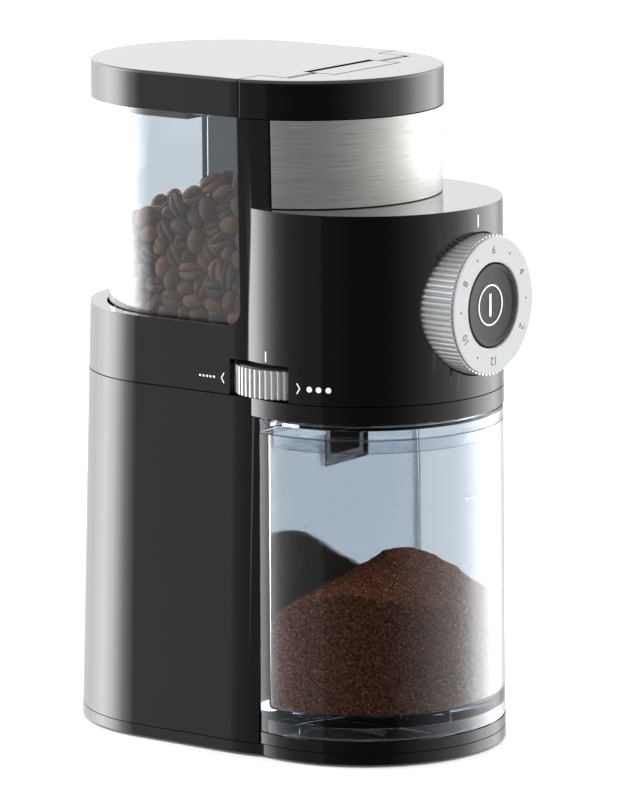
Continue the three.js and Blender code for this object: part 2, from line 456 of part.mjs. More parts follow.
node('motor_cap_bottom', endCap(MOTOR.z0 - 0.7, MOTOR.z0 + 4.7, [MOTOR.z0 - 2, MOTOR.z0 + 4]), 'zinc');
node('bearing_top', bearing(MOTOR.z1 - 3.7, MOTOR.z1 + 0.5), 'burrSteel');
node('bearing_bottom', bearing(MOTOR.z0 - 0.5, MOTOR.z0 + 3.7), 'burrSteel');
node('motor_mount', motorMount(), 'blackMatt');
EARS.forEach(([x, y], i) => node(`motor_screw_${i + 1}`, screw(x, y, DECK_Z + 5, 3.1, 1.5, 11, false), 'zinc'));
node('container', container(), 'clear');
node('container_lid', containerLid(), 'clear');
node('cord_gland', cylY(0, 18, 8.5, 87, 91, 16).add(cylY(0, 18, 6, 90, REAR_Y + 52.9, 16))
  .subtract(cylY(0, 18, 3.3, 80, 110, 12)), 'rubber');
node('terminal_block', box(-12, 12, 74, 84, 24, 34).subtract(cylZ(-6, 79, 2, 26, 40, 12))
  .subtract(cylZ(6, 79, 2, 26, 40, 12)), 'nylon');

export default grinder;
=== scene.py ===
# %% [markdown]
# # A burr coffee grinder
# The grinder is a tall black housing with a round drum in front. A clear hopper with beans stands
# behind the drum's head, and a clear container of ground coffee slides out below it. The packed
# model is the frame: it says where each part is and which body it moves with. The script reads it
# first. The finished look must stay inside that box.

# %% The frame
import json
import math
import bmesh
import bpy
import numpy as np
from mathutils import Matrix, Vector, noise


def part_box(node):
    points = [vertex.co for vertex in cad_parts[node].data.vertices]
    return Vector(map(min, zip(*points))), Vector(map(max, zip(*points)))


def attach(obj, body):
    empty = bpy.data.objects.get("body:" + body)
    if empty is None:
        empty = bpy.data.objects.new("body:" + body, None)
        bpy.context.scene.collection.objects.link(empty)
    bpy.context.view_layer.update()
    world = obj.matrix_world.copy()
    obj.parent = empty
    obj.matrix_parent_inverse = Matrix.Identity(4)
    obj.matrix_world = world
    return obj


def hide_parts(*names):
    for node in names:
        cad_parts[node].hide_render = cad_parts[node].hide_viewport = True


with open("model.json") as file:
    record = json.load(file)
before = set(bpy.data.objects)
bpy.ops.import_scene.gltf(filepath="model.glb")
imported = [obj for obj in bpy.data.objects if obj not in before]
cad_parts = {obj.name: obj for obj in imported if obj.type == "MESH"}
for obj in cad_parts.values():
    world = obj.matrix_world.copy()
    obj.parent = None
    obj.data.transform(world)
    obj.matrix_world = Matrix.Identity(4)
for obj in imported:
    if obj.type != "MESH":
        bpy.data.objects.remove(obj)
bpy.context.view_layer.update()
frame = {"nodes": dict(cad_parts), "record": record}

# %% [markdown]
# Blender works in metres, but the drawing of a kitchen appliance is in millimetres. Pieces are made
# in millimetres about the centre of the housing's front half circle, on the underside of the base,
# and one matrix takes them to the frame. The lid's box in the frame says where that centre lies.

# %% From drawing to frame
# the lid's radius, the centre of its rear half circle and its lower edge
LID_R, LID_REAR, LID_Z = 50.05, 39.0, 235.8
lid_low, lid_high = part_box("hopper_lid")
CENTRE_Y = lid_high.y - (LID_R + LID_REAR) / 1000
BASE_LEVEL = lid_low.z - LID_Z / 1000
TO_FRAME = Matrix.Translation((0, CENTRE_Y, BASE_LEVEL)) @ Matrix.Scale(0.001, 4)
print("drawing origin in the frame, mm:", round(CENTRE_Y * 1000, 2), round(BASE_LEVEL * 1000, 2))

# %% [markdown]
# The camera comes first, because everything is judged through it. A long lens far away keeps the
# verticals nearly parallel. The camera's three axes are worked out from its direction round the
# object, its height angle and a slight roll.

# %% Camera
def camera_axes(azimuth, elevation, roll):
    a, e, r = (math.radians(v) for v in (azimuth, elevation, roll))
    back = Vector((math.sin(a) * math.cos(e), -math.cos(a) * math.cos(e), math.sin(e)))
    right = Vector((math.cos(a), math.sin(a), 0))
    up = back.cross(right)
    return (math.cos(r) * right + math.sin(r) * up, -math.sin(r) * right + math.cos(r) * up, back)

VIEW_FROM, VIEW_HEIGHT, ROLL = -53.448, 10.697, -0.34
EYE = Vector((-1807.97, -1341.66, 546.0))
right, up, back = camera_axes(VIEW_FROM, VIEW_HEIGHT, ROLL)
camera = bpy.data.objects.new("camera", bpy.data.cameras.new("camera"))
bpy.context.scene.collection.objects.link(camera)
turn = Matrix((right, up, back)).transposed().to_4x4()
camera.matrix_world = Matrix.Translation(TO_FRAME @ EYE) @ turn
camera.data.lens, camera.data.sensor_width = 276.5, 36
camera.data.shift_y = 0.0093
camera.data.clip_start, camera.data.clip_end = 0.1, 20
bpy.context.scene.camera = camera
print("camera distance, m:", round(camera.location.length, 2))

# %% [markdown]
# Glossy black plastic shows its surroundings, not its colour. A studio lights it with two tall soft
# panels, one behind on each side, and keeps the room in front of it dark: the panels draw bright
# upright bands along the edges, and the middle stays black. Lamps could do this, but a world whose
# brightness changes with the compass direction gives the same panels with soft edges and no noise.
# Directly seen, and seen through clear plastic, the backdrop is plain white.

# %% One function for colours, one for nodes
def srgb(code):
    parts = [int(code[i:i + 2], 16) / 255 for i in (1, 3, 5)]
    return tuple(c / 12.92 if c <= 0.04045 else ((c + 0.055) / 1.055) ** 2.4 for c in parts) + (1,)

def add(tree, kind, inputs=None, stops=(), **settings):
    """Adds a node. Inputs are sockets or values, by name or number; stops are a colour ramp's."""
    node = tree.nodes.new(kind)
    for key, value in settings.items():
        if hasattr(node, key):
            setattr(node, key, value)
        else:
            node.inputs[key.replace("_", " ")].default_value = value
    for key, source in (inputs or {}).items():
        if isinstance(source, bpy.types.NodeSocket):
            tree.links.new(source, node.inputs[key])
        else:
            node.inputs[key].default_value = source
    if stops:
        elements = node.color_ramp.elements
        elements.remove(elements[-1])
        for i, (where, colour) in enumerate(stops):
            stop = elements[0] if i == 0 else elements.new(where)
            stop.position = where
            stop.color = colour if isinstance(colour, tuple) else (colour, colour, colour, 1)
    return node

# %% Studio
# brightness of the room by compass direction, in degrees from +X towards +Y
PANELS = [(-180, 0.12), (-158, 0.06), (-145, 0.04), (-125, 0.06), (-110, 0.18), (-95, 0.4), (-78, 0.8),
          (-62, 1.3), (-50, 2.3), (-38, 3.7), (-22, 3.9), (-10, 3.4), (0, 2.0), (8, 1.1), (22, 0.75),
          (45, 1.1), (60, 1.5), (77, 2.8), (90, 4.9), (100, 7.2), (112, 7.2), (120, 5.0), (127, 2.6),
          (138, 0.85), (150, 0.4), (165, 0.25)]
BRIGHTEST = 8.0
world = bpy.data.worlds.new("studio")
bpy.context.scene.world = world
world.use_nodes = True
sky = world.node_tree
sky.nodes.clear()
direction = add(sky, "ShaderNodeTexCoord")
compass = add(sky, "ShaderNodeTexGradient", {"Vector": direction.outputs["Generated"]},
              gradient_type="RADIAL")
panels = add(sky, "ShaderNodeValToRGB", {"Fac": compass.outputs["Fac"]},
             [((a + 180) / 360, b / BRIGHTEST) for a, b in PANELS])
height = add(sky, "ShaderNodeSeparateXYZ", {"Vector": direction.outputs["Generated"]})
# the panels end about 45 degrees up, where an even ceiling light takes over
panel_part = add(sky, "ShaderNodeValToRGB", {"Fac": height.outputs["Z"]},
                 [(0.0, 1.0), (0.45, 1.0), (0.75, 0.0)])
ceiling_part = add(sky, "ShaderNodeValToRGB", {"Fac": height.outputs["Z"]},
                   [(0.05, 0.0), (0.15, 0.1), (0.5, 0.14), (1.0, 0.17)])
lit = add(sky, "ShaderNodeMix", {0: 1.0, 6: panels.outputs["Color"], 7: panel_part.outputs["Color"]},
          data_type="RGBA", blend_type="MULTIPLY")
total = add(sky, "ShaderNodeMix", {0: 1.0, 6: lit.outputs[2], 7: ceiling_part.outputs["Color"]},
            data_type="RGBA", blend_type="ADD")

# %% [markdown]
# What a ray of light meets in the room depends on where it has been. Seen directly, or straight
# through clear plastic, the room is a white backdrop. A ray that left the coffee through plastic is
# stopped, because shadow rays have counted that light already. A mirror image behind plastic passes
# eight tinted surfaces, and is brought back up by half. A row of sums on the ray's history says
# which.

# %% Backdrop or room
ray = add(sky, "ShaderNodeLightPath")
through_glass = ray.outputs["Is Transmission Ray"]
sums = {}
for made, operation, a, b in (
        ("left_coffee", "GREATER_THAN", ray.outputs["Diffuse Depth"], 0.5),
        ("mirrored", "GREATER_THAN", ray.outputs["Glossy Depth"], 0.5),
        ("either", "MAXIMUM", "left_coffee", "mirrored"),
        ("neither", "SUBTRACT", 1.0, "either"),
        ("straight_on", "MULTIPLY", through_glass, "neither"),
        ("backdrop", "MAXIMUM", ray.outputs["Is Camera Ray"], "straight_on"),
        ("stopped", "MULTIPLY", through_glass, "left_coffee"),
        ("behind", "MULTIPLY", through_glass, "mirrored"),
        ("raise", "MULTIPLY", "behind", 0.5),
        ("raised", "ADD", "raise", 1.0),
        ("share", "SUBTRACT", "raised", "stopped"),
        ("strength", "MULTIPLY", "share", BRIGHTEST)):
    ends = {i: sums[v] if isinstance(v, str) else v for i, v in enumerate((a, b))}
    sums[made] = add(sky, "ShaderNodeMath", ends, operation=operation).outputs[0]
room = add(sky, "ShaderNodeBackground", {"Color": total.outputs[2], "Strength": sums["strength"]})
backdrop = add(sky, "ShaderNodeBackground", Color=(1, 1, 1, 1), Strength=1.0)
shown = add(sky, "ShaderNodeMixShader",
            {0: sums["backdrop"], 1: room.outputs[0], 2: backdrop.outputs[0]})
add(sky, "ShaderNodeOutputWorld", {"Surface": shown.outputs[0]})
bpy.context.scene.view_settings.view_transform = "Standard"
print("panels:", len(PANELS), "directions;", len(sky.nodes), "nodes")

# %% [markdown]
# ## Finishes
# Each finish is named for what the real part is made of. Patterns are sized in millimetres through
# a Mapping node on Object coordinates, which are metres here, so a scale of 1000 over the size
# gives it.

# %% A start for every finish
def finish_of(name, colour, roughness, metallic=0.0, ior=1.5):
    material = bpy.data.materials.new(name)
    material.use_nodes = True
    tree = material.node_tree
    tree.nodes.clear()
    shader = add(tree, "ShaderNodeBsdfPrincipled", Base_Color=srgb(colour), Roughness=roughness,
                 Metallic=metallic)
    if not metallic:
        shader.inputs["IOR"].default_value = ior
    add(tree, "ShaderNodeOutputMaterial", {"Surface": shader.outputs[0]})
    where = add(tree, "ShaderNodeTexCoord")
    return material, tree, shader, where.outputs["Object"]

def grain(tree, place, size_mm, stretch=(1, 1, 1), detail=3.0):
    """Noise whose lumps are about size_mm across."""
    spread = add(tree, "ShaderNodeMapping", {"Vector": place},
                 Scale=tuple(1000 / size_mm * s for s in stretch))
    lumps = add(tree, "ShaderNodeTexNoise", {"Vector": spread.outputs[0]}, Scale=1.0, Detail=detail)
    return lumps.outputs["Fac"]

def rough_between(tree, shader, source, low, high):
    span = add(tree, "ShaderNodeMapRange", {"Value": source}, To_Min=low, To_Max=high)
    tree.links.new(span.outputs[0], shader.inputs["Roughness"])

def relief(tree, shader, source, depth_mm, strength=1.0):
    bump = add(tree, "ShaderNodeBump", {"Height": source}, Distance=depth_mm / 1000, Strength=strength)
    tree.links.new(bump.outputs[0], shader.inputs["Normal"])

def mottle(tree, shader, source, stops):
    shade = add(tree, "ShaderNodeValToRGB", {"Fac": source}, [(p, srgb(c)) for p, c in stops])
    tree.links.new(shade.outputs[0], shader.inputs["Base Color"])

# %% Black plastics
# Piano-black ABS from a polished mould: almost a mirror, with faint flow waves a few centimetres long.
GLOSS_BLACK, tree, shader, place = finish_of("gloss_black_abs", "#050505", 0.07, 0.0, 1.54)
rough_between(tree, shader, grain(tree, place, 9), 0.055, 0.1)
relief(tree, shader, grain(tree, place, 26, detail=1), 0.05, 0.5)
# Textured ABS from an etched mould: a fine even grain takes the shine away.
MATT_BLACK, tree, shader, place = finish_of("etched_black_abs", "#161617", 0.5)
rough_between(tree, shader, grain(tree, place, 5), 0.42, 0.6)
relief(tree, shader, grain(tree, place, 0.5), 0.04, 0.6)
# Black rubber for feet and cord gland: dull, a little dusty.
RUBBER, tree, shader, place = finish_of("nitrile_rubber", "#1b1b1b", 0.85)
mottle(tree, shader, grain(tree, place, 3), [(0.3, "#161616"), (0.75, "#2a2928")])
relief(tree, shader, grain(tree, place, 0.7), 0.05, 0.5)

# %% Silver finishes
# Silver-painted ABS: mica flakes in clear lacquer. The flakes are drawn at 0.25 mm so that they show.
SILVER_PAINT, tree, shader, place = finish_of("silver_painted_abs", "#c2c4c6", 0.36, 0.75)
mottle(tree, shader, grain(tree, place, 0.25, detail=1), [(0.35, "#b6b8ba"), (0.7, "#ced0d2")])
rough_between(tree, shader, grain(tree, place, 2), 0.3, 0.42)
relief(tree, shader, grain(tree, place, 0.4), 0.01, 0.4)
FACE_PAINT, tree, shader, place = finish_of("pale_silver_face", "#a4a6a8", 0.5)
mottle(tree, shader, grain(tree, place, 0.25, detail=1), [(0.35, "#9ea0a2"), (0.7, "#aaacae")])
rough_between(tree, shader, grain(tree, place, 3), 0.34, 0.46)
BUTTON_GREY, tree, shader, place = finish_of("anthracite_lacquer", "#2a2b2d", 0.5)
shader.inputs["Specular IOR Level"].default_value = 0.22
mottle(tree, shader, grain(tree, place, 0.3, detail=1), [(0.3, "#242527"), (0.7, "#303133")])
rough_between(tree, shader, grain(tree, place, 4), 0.45, 0.55)
# Brushed stainless sheet: the belt leaves scratches along the band, so they vary only with height.
BRUSHED_STEEL, tree, shader, place = finish_of("brushed_stainless", "#b6b5b2", 0.48, 1.0)
scratches = grain(tree, place, 0.16, stretch=(0.012, 0.012, 1), detail=4)
mottle(tree, shader, scratches, [(0.3, "#a3a29f"), (0.7, "#c9c8c5")])
rough_between(tree, shader, scratches, 0.42, 0.55)
relief(tree, shader, scratches, 0.012, 0.7)

# %% Metals inside
ZINC, tree, shader, place = finish_of("zinc_plated_steel", "#a9adb2", 0.35, 1.0)
mottle(tree, shader, grain(tree, place, 2.5), [(0.3, "#999ca0"), (0.7, "#b9bdc2")])
rough_between(tree, shader, grain(tree, place, 1.2), 0.28, 0.5)
TOOL_STEEL, tree, shader, place = finish_of("ground_tool_steel", "#8b8e92", 0.25, 1.0)
mottle(tree, shader, grain(tree, place, 4), [(0.3, "#7d8085"), (0.7, "#989ba0")])
rough_between(tree, shader, grain(tree, place, 0.3, stretch=(1, 0.05, 1)), 0.2, 0.4)
LAMINATIONS, tree, shader, place = finish_of("varnished_core_steel", "#4a4c50", 0.45, 0.9)
sheets = grain(tree, place, 0.5, stretch=(0.01, 0.01, 1), detail=1)
mottle(tree, shader, sheets, [(0.4, "#35373a"), (0.6, "#5b5d61")])
relief(tree, shader, sheets, 0.08, 0.7)
COPPER, tree, shader, place = finish_of("turned_copper", "#b8703f", 0.3, 1.0)
mottle(tree, shader, grain(tree, place, 1.5), [(0.3, "#a3602f"), (0.7, "#c9824e")])
rough_between(tree, shader, grain(tree, place, 0.3, stretch=(0.05, 0.05, 1)), 0.22, 0.4)

# %% Engineering plastics and the board
NYLON, tree, shader, place = finish_of("natural_nylon", "#d9d5c8", 0.5)
mottle(tree, shader, grain(tree, place, 6), [(0.3, "#d0cbbc"), (0.7, "#e2dfd4")])
relief(tree, shader, grain(tree, place, 0.6), 0.02, 0.5)
SOLDER_MASK, tree, shader, place = finish_of("solder_mask", "#1f5a34", 0.35)
mottle(tree, shader, grain(tree, place, 1.2, detail=5), [(0.4, "#184a2a"), (0.6, "#27693f")])
relief(tree, shader, grain(tree, place, 0.8), 0.03, 0.6)
WHITE_PRINT, tree, shader, place = finish_of("white_pad_print", "#eeeeee", 0.45)
mottle(tree, shader, grain(tree, place, 0.5), [(0.2, "#e2e2e2"), (0.6, "#f6f6f6")])
GREY_PRINT, tree, shader, place = finish_of("grey_pad_print", "#4a4c4f", 0.6)
shader.inputs["Specular IOR Level"].default_value = 0.2
mottle(tree, shader, grain(tree, place, 0.5), [(0.2, "#444649"), (0.6, "#525457")])
print("finishes so far:", len(bpy.data.materials))

# %% [markdown]
# Hopper and container are clear styrene, moulded 2 to 3 mm thick. It bends light like glass, and a
# long way through it looks faintly blue, which shows at edges and corners. Absorption in the volume
# does that by itself, because the path along an edge is much longer than the path through a wall.
# Light that only passes on to what is behind goes straight through, so the coffee stays well lit.

# %% Clear plastic
CLEAR, tree, shader, place = finish_of("clear_styrene", "#e3e9ee", 0.02, 0.0, 1.5)
shader.inputs["Transmission Weight"].default_value = 1
rough_between(tree, shader, grain(tree, place, 12), 0.0, 0.03)
relief(tree, shader, grain(tree, place, 40, detail=0), 0.04, 0.3)
passing = add(tree, "ShaderNodeLightPath")
straight = add(tree, "ShaderNodeBsdfTransparent", Color=(0.94, 0.95, 0.97, 1))
through = add(tree, "ShaderNodeMixShader",
              {0: passing.outputs["Is Shadow Ray"], 1: shader.outputs[0], 2: straight.outputs[0]})
depth = add(tree, "ShaderNodeVolumeAbsorption", Color=srgb("#c2cad9"), Density=30.0)
output = next(n for n in tree.nodes if n.type == "OUTPUT_MATERIAL")
tree.links.new(through.outputs[0], output.inputs["Surface"])
tree.links.new(depth.outputs[0], output.inputs["Volume"])

# %% Coffee
# Roasted beans: brown skin with a thin film of oil, darker on some beans than on others.
BEAN, tree, shader, place = finish_of("roasted_bean_skin", "#4a2f22", 0.42)
shader.inputs["Specular IOR Level"].default_value = 0.2
roast = add(tree, "ShaderNodeAttribute", attribute_name="roast")
tone = add(tree, "ShaderNodeMath", {0: roast.outputs["Fac"], 1: grain(tree, place, 3, detail=5)},
           operation="ADD")
# painted shade: the bean's colour is darkened along its crease
crease_shade = add(tree, "ShaderNodeAttribute", attribute_name="crease_shade")
dark = add(tree, "ShaderNodeMath", {0: tone.outputs[0], 1: crease_shade.outputs["Fac"]},
           operation="SUBTRACT")
half = add(tree, "ShaderNodeMath", {0: dark.outputs[0], 1: 0.5}, operation="MULTIPLY")
mottle(tree, shader, half.outputs[0],
       [(0.05, "#140d09"), (0.2, "#3a261a"), (0.5, "#664530"), (0.8, "#976844")])
rough_between(tree, shader, grain(tree, place, 2), 0.34, 0.55)
relief(tree, shader, grain(tree, place, 0.8, detail=4), 0.12, 0.7)
# Ground coffee: crumbs of about 0.6 mm, from dark cores to pale flakes of inner skin.
CRUMB_MM = 0.6
GROUNDS, tree, shader, place = finish_of("ground_coffee", "#5a3020", 0.9)
shader.inputs["Specular IOR Level"].default_value = 0.0
crumb_size = add(tree, "ShaderNodeMapping", {"Vector": place}, Scale=(1000 / CRUMB_MM,) * 3)
crumbs = add(tree, "ShaderNodeTexVoronoi", {"Vector": crumb_size.outputs[0]}, Scale=1.0)
mottle(tree, shader, crumbs.outputs["Color"],
       [(0.15, "#3a2016"), (0.35, "#76432e"), (0.6, "#a15c3b"), (0.85, "#bd744c"), (0.97, "#e6c4a0")])
relief(tree, shader, crumbs.outputs["Distance"], 0.5, 1.0)
print("finishes:", len(bpy.data.materials))

# %% [markdown]
# ## Making solids
# The housing's plan is a stadium: a circle cut in two and pulled apart. Every wall leans a little,
# so a block is an extruded outline whose top is scaled. Openings are cut with exact booleans, which
# are settled at once, and a narrow bevel then rounds every edge, because a sharp edge catches no
# light.

# %% Blocks
DRUM_Y = -25.1
drum_r = lambda z: 51.45 + 0.005 * (133 - z)
def stadium(z0, z1, r0, r1, front=0.0, rear=0.0, steps=160):
    """A leaning prism between two heights: half circles about front and rear, radius r0 to r1."""
    bm = bmesh.new()
    bmesh.ops.create_circle(bm, cap_ends=True, segments=steps, radius=r0,
                            matrix=Matrix.Rotation(math.pi / steps, 4, "Z"))
    rise = bmesh.ops.extrude_face_region(bm, geom=bm.faces[:])["geom"]
    top = [v for v in rise if isinstance(v, bmesh.types.BMVert)]
    bmesh.ops.scale(bm, vec=(r1 / r0, r1 / r0, 1), verts=top)
    bmesh.ops.translate(bm, vec=(0, 0, z1 - z0), verts=top)
    bmesh.ops.translate(bm, vec=(0, 0, z0), verts=bm.verts)
    rear_half = [v for v in bm.verts if v.co.y > 0]
    front_half = [v for v in bm.verts if v.co.y <= 0]
    bmesh.ops.translate(bm, vec=(0, rear, 0), verts=rear_half)
    bmesh.ops.translate(bm, vec=(0, front, 0), verts=front_half)
    return bm

def drum(z0, z1, inset=0.0, steps=160):
    return stadium(z0, z1, drum_r(z0) - inset, drum_r(z1) - inset, DRUM_Y, DRUM_Y, steps)

def block(x0, x1, y0, y1, z0, z1):
    bm = bmesh.new()
    middle = Vector(((x0 + x1) / 2, (y0 + y1) / 2, (z0 + z1) / 2))
    bmesh.ops.create_cube(bm, size=1,
                          matrix=Matrix.LocRotScale(middle, None, (x1 - x0, y1 - y0, z1 - z0)))
    return bm

UPRIGHT, CROSSWAYS, FORWARDS = (Matrix.Identity(4), Matrix.Rotation(math.pi / 2, 4, "Y"),
                                Matrix.Rotation(math.pi / 2, 4, "X"))
def rod(centre, r, length, lie=UPRIGHT, steps=48):
    bm = bmesh.new()
    bmesh.ops.create_cone(bm, cap_ends=True, segments=steps, radius1=r, radius2=r, depth=length,
                          matrix=Matrix.Translation(centre) @ lie)
    return bm

def turned(profile, place=Matrix.Identity(4), steps=96):
    """Turns [radius, height] points about the upright axis; a closed profile makes a ring."""
    bm = bmesh.new()
    line = [bm.verts.new((r, 0, h)) for r, h in profile]
    edges = [bm.edges.new(pair) for pair in zip(line, line[1:])]
    bmesh.ops.spin(bm, geom=line + edges, cent=(0, 0, 0), axis=(0, 0, 1), steps=steps,
                   angle=2 * math.pi, use_merge=True)
    bmesh.ops.remove_doubles(bm, verts=bm.verts, dist=1e-4)
    bmesh.ops.transform(bm, matrix=place, verts=bm.verts)
    return bm

# %% From block to piece
EDGE_ANGLE = math.radians(34)
def piece(bm, name):
    bmesh.ops.recalc_face_normals(bm, faces=bm.faces)
    mesh = bpy.data.meshes.new(name)
    bm.to_mesh(mesh)
    bm.free()
    made = bpy.data.objects.new(name, mesh)
    bpy.context.scene.collection.objects.link(made)
    return made

def settle(made):
    """Applies the piece's modifiers."""
    seen = made.evaluated_get(bpy.context.evaluated_depsgraph_get())
    old, made.data = made.data, bpy.data.meshes.new_from_object(seen)
    made.modifiers.clear()
    bpy.data.meshes.remove(old)

def work(made, how, *tools):
    """Boolean of a piece with blocks or other pieces, which are used up."""
    for tool in tools:
        tool = piece(tool, "tool") if isinstance(tool, bmesh.types.BMesh) else tool
        step = made.modifiers.new(how, "BOOLEAN")
        step.operation, step.solver, step.object = how, "EXACT", tool
        bpy.context.view_layer.update()
        settle(made)
        bpy.data.objects.remove(tool)
    return made

cut = lambda made, *tools: work(made, "DIFFERENCE", *tools)
join = lambda made, *tools: work(made, "UNION", *tools)
keep = lambda made, *tools: work(made, "INTERSECT", *tools)

def complete(made, finish, body, replaces=(), round_mm=0.0, segments=3):
    """Rounds the edges, smooths, takes the piece to the frame and lets it ride on its body."""
    bm = bmesh.new()
    bm.from_mesh(made.data)
    bmesh.ops.remove_doubles(bm, verts=bm.verts, dist=0.004)
    bmesh.ops.dissolve_degenerate(bm, edges=bm.edges, dist=0.004)
    if round_mm:
        sharp = [e for e in bm.edges if len(e.link_faces) == 2 and e.calc_face_angle(0) > EDGE_ANGLE]
        bmesh.ops.bevel(bm, geom=sharp, offset=round_mm, offset_type="OFFSET", segments=segments,
                        profile=0.5, affect="EDGES", clamp_overlap=True, material=-1)
    bm.to_mesh(made.data)
    bm.free()
    made.data.shade_smooth()
    made.data.set_sharp_from_angle(angle=math.radians(32))
    even = made.modifiers.new("even_normals", "WEIGHTED_NORMAL")
    even.keep_sharp, even.weight = True, 50
    made.data.transform(TO_FRAME)
    made.data.materials.clear()
    made.data.materials.append(finish)
    if replaces:
        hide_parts(*replaces)
    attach(made, body)
    print(f"{made.name}: {len(made.data.polygons)} faces, rides on {body}")
    return made

FAR = 400
ahead_of = lambda y: block(-FAR, FAR, -FAR, y, -FAR, FAR)
behind = lambda y: block(-FAR, FAR, y, FAR, -FAR, FAR)

# %% [markdown]
# ## Housing
# The lower shell is one moulding: the tall rear body, the platform under the container and the ring
# under the drum's head. The base plate closes it below. Both lean inwards towards the top.

# %% Base plate
# the rear half circle's centre; the heights of the ledge, the head's top and the head's underside
BODY_REAR, LEDGE, SHELF, HEAD = 42.4, 158.1, 202.9, 126.3
body_r = lambda z: 49.33 + 0.03 * (133 - z)
def body(z0, z1, inset=0.0):
    return stadium(z0, z1, body_r(z0) - inset, body_r(z1) - inset, 0, BODY_REAR)

base = join(piece(body(0, 4), "base"), drum(0, 4))
feet_at = [(-30, -52), (30, -52), (-33, 62), (33, 62)]
screws_at = [(-18, -60), (18, -60), (-24, 83.4), (24, 83.4)]
motor_y = (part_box("motor_shaft")[0].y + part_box("motor_shaft")[1].y) * 500 - CENTRE_Y * 1000
for x, y in feet_at:
    cut(base, rod((x, y, 0.4), 6.3, 2.8))
for x, y in screws_at:
    cut(base, rod((x, y, 0.5), 3.5, 3), rod((x, y, 3), 1.8, 6))
for i in range(-2, 3):
    cut(base, block(i * 7 - 1.5, i * 7 + 1.5, motor_y - 15, motor_y + 15, -1, 5))
complete(base, GLOSS_BLACK, "housing", ["base_plate"], 0.5)

# %% Lower shell
WALL, BAY = 2.5, -13.4
lower = cut(piece(body(4.3, 132.9), "lower_shell"), ahead_of(BAY))
for z0, z1 in ((3, 98), (101, 135)):
    cut(lower, cut(piece(body(z0, z1, WALL), "hollow"), ahead_of(BAY + WALL)))
platform = cut(piece(drum(4.3, 8.5), "platform"), behind(BAY + 1))
ring = cut(piece(drum(HEAD, 132.9), "ring"), behind(BAY + 4))
join(lower, platform, ring)
cut(lower, cut(piece(drum(3, 6.5, WALL), "hollow"), behind(BAY)),
    cut(piece(drum(HEAD + 2.4, 135, WALL), "hollow"), behind(BAY + WALL + 2)),
    block(-11.8, 11.8, BAY - 2, BAY + 4, 103.7, HEAD - 0.3),
    rod((0, 95, 18), 6.3, 30, FORWARDS), rod((0, motor_y, 99.5), 12, 6))
join(lower, rod((-30, -14.5, 130.7), 5, 4.4))
cut(lower, rod((-30, -14.5, 131.4), 2.8, 7))
complete(lower, GLOSS_BLACK, "housing", ["lower_housing"], 0.35)

# %% [markdown]
# The upper shell carries the ledge round the hopper, the drum's head with the dial and the column
# behind it, whose dark back stands inside the hopper. Its foot meets the ledge in a soft corner
# that frames the hopper's window.

# %% Upper shell
COLUMN_X, COLUMN_Y, COLUMN_TOP, WINDOW, POT_REAR = 34.0, 19.8, LID_Z - 0.3, -4.3, 38.5
upper_r = lambda z: 48.6 + 0.0186 * (z - 158)
hopper_r = lambda z: 44.5 + 0.0323 * (z - 158)
def column(z0, z1, inset=0.0):
    return stadium(z0, z1, upper_r(z0) - inset, upper_r(z1) - inset, 0, LID_REAR)
def hopper_block(z0, z1, inset=0.0):
    return stadium(z0, z1, hopper_r(z0) - inset, hopper_r(z1) - inset, 0, POT_REAR)
def inner_column(z0, z1, inset=0.0):
    return block(-COLUMN_X + inset, COLUMN_X - inset, -12, COLUMN_Y - inset, z0, z1)

upper = join(piece(body(133.3, LEDGE), "upper_shell"), drum(133.3, LEDGE))
join(upper, cut(piece(drum(LEDGE - 2, SHELF), "head"), behind(WINDOW)),
     cut(piece(column(LEDGE - 1, COLUMN_TOP), "column"), behind(WINDOW)),
     inner_column(LEDGE - 2.8, COLUMN_TOP))
CORNER = 7.5
for side in (-1, 1):
    corner = piece(block(side * 49.5, side * 45.5, WINDOW - 1, WINDOW + CORNER,
                         LEDGE - 1, LEDGE + CORNER), "corner")
    cut(corner, rod((side * 47, WINDOW + CORNER, LEDGE + CORNER), CORNER, 20, CROSSWAYS, 64))
    keep(corner, column(LEDGE - 3, LEDGE + 12))
    cut(corner, column(LEDGE - 4, LEDGE + 13, WALL))
    join(upper, corner)
cut(upper, body(132, LEDGE - 2.8, WALL), drum(132, LEDGE - 4, WALL),
    cut(piece(drum(LEDGE - 4.1, SHELF - WALL, WALL), "hollow"), behind(WINDOW - WALL)),
    cut(piece(column(LEDGE - 4, COLUMN_TOP - WALL, 3.3), "hollow"), behind(WINDOW - WALL)),
    inner_column(LEDGE - 4, COLUMN_TOP - WALL, WALL))
place_for_hopper = cut(piece(hopper_block(LEDGE - 4, LEDGE + 1, -0.8), "place"),
                       ahead_of(WINDOW + 0.3), inner_column(100, 300))
cut(upper, place_for_hopper)
DIAL_Z = 167.4
boss = keep(piece(rod((0, -69.75, DIAL_Z), 28.8, 12.5, FORWARDS, 96), "boss"), drum(134, 202, 0.2))
join(upper, boss)
# the dial's dish with its hub hole, and the thumbwheel's window
cut(upper, rod((0, -83, DIAL_Z), 26.5, 34, FORWARDS, 128), rod((0, -65, DIAL_Z), 9, 10, FORWARDS),
    block(-70, -38, -28, 0.4, 132, 146.5))
band_bed = cut(piece(column(SHELF + 0.1, COLUMN_TOP + 1, -1), "bed"),
               column(SHELF, COLUMN_TOP + 2, 1), behind(-17))
cut(upper, band_bed)
complete(upper, GLOSS_BLACK, "housing", ["upper_housing"], 0.45)

# %% Steel band round the column
SHEET = 0.7
band = cut(piece(column(SHELF + 0.3, COLUMN_TOP - 0.1), "brushed_band"),
           column(SHELF, COLUMN_TOP + 1, SHEET), behind(-17.3))
complete(band, BRUSHED_STEEL, "housing", ["steel_band"], 0.15, 2)

# %% [markdown]
# ## Lid
# The lid is split: the front cap stays, and the rear part turns up on a pin in front of the hopper.
# Both share one outline, so they are cut from the same block and their edges line up. The arms of
# the lid and the nose of the hinge cover are round about the pin, which lets them turn past each
# other.

